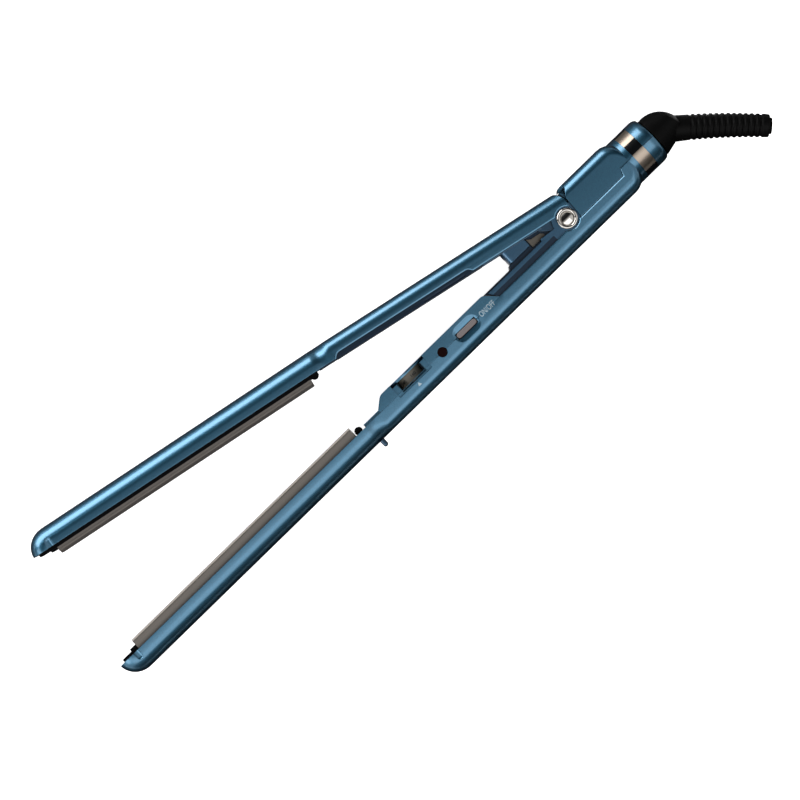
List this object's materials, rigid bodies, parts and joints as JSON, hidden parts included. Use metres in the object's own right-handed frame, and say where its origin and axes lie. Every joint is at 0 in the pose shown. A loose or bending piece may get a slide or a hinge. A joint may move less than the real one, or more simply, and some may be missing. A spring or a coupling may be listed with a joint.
{
  "type": "hair crimper",
  "caption": "Long-armed hair crimper with ridged plates, a spring-opened hinge, thumb temperature dial, push switch and ribbed cord sleeve on a swivel.",
  "frame": {"origin": "on the hinge axis, at the far side face that the tool rests on when it lies on its side", "axes": "+X runs along the lower arm towards the cord exit, +Y from the lower arm towards the upper arm, +Z along the hinge pin, up from the table"},
  "size_m": [0.3574, 0.096, 0.0224],
  "materials": {
    "blue_shell": "metallic blue lacquer on moulded resin",
    "dark_blue_resin": "dark blue moulded resin",
    "black_heatproof_resin": "black heat-resistant moulded resin",
    "black_resin": "black moulded resin",
    "black_rubber": "soft black moulded rubber",
    "titanium_coated_plate": "aluminium with a warm grey titanium coat",
    "heater_ceramic": "unglazed white ceramic",
    "silicone_pad": "grey silicone",
    "steel": "plain bright steel",
    "chrome_cap": "polished chrome",
    "champagne_silver": "satin champagne silver",
    "contact_brass": "plain brass",
    "board_laminate": "green glass-fibre laminate",
    "led_resin": "clear red resin",
    "dark_red_lens": "unlit dark red lens",
    "grey_button": "warm grey moulded resin",
    "grey_drum": "warm grey moulded resin with plain numbers"
  },
  "bodies": {
    "lower_arm": {"lower_housing": "blue_shell", "control_cover": "blue_shell", "rear_cover": "blue_shell", "lower_holder": "black_heatproof_resin", "lower_plate": "titanium_coated_plate", "lower_heater": "heater_ceramic", "lower_pads": "silicone_pad", "thermal_fuse": "steel", "hinge_frame": "dark_blue_resin", "post_base": "black_resin", "guide_post": "blue_shell", "spring_bracket": "steel", "opening_spring": "steel", "pivot_pin": "steel", "pivot_cap_near": "chrome_cap", "pivot_cap_far": "chrome_cap", "rest_peg": "dark_blue_resin", "circuit_board": "board_laminate", "power_switch": "black_resin", "led": "led_resin", "led_lens": "dark_red_lens", "dial_potentiometer": "black_resin", "supply_leads": "black_rubber", "band_ring": "black_resin", "silver_badges": "champagne_silver", "silver_cuffs": "champagne_silver", "swivel_bearing": "black_resin", "brush_contacts": "contact_brass", "cover_screws": "steel"},
    "upper_arm": {"upper_housing": "blue_shell", "upper_cover": "black_heatproof_resin", "upper_frame": "dark_blue_resin", "upper_holder": "black_heatproof_resin", "upper_plate": "titanium_coated_plate", "upper_heater": "heater_ceramic", "upper_pads": "silicone_pad", "upper_screws": "steel"},
    "power_button_body": {"power_button": "grey_button"},
    "dial": {"dial_disc": "blue_shell", "dial_drum": "grey_drum", "dial_spindle": "steel"},
    "cord_swivel": {"swivel_core": "black_resin", "slip_rings": "contact_brass", "swivel_boot": "black_rubber", "cord_sleeve": "black_rubber"}
  },
  "joints": [
    {"name": "arm_hinge", "type": "hinge", "parent": "lower_arm", "child": "upper_arm", "pos_m": [0, 0, 0], "axis": [0, 0, 1], "range_deg": [0, 10.8], "stiffness_Nm_per_rad": 1.5, "springref_deg": -11.46, "deforming": ["opening_spring"]},
    {"name": "power_button_press", "type": "slide", "parent": "lower_arm", "child": "power_button_body", "axis": [0, 0, -1], "range_m": [0, 0.0005], "stiffness_N_per_m": 300, "springref_m": -0.003},
    {"name": "dial_turn", "type": "hinge", "parent": "lower_arm", "child": "dial", "pos_m": [-0.093, 0, 0.0128], "axis": [0, 1, 0], "range_deg": [0, 270]},
    {"name": "cord_swivel_turn", "type": "hinge", "parent": "lower_arm", "child": "cord_swivel", "pos_m": [0, -0.0003, 0.011], "axis": [1, 0, 0], "continuous": true}
  ]
}
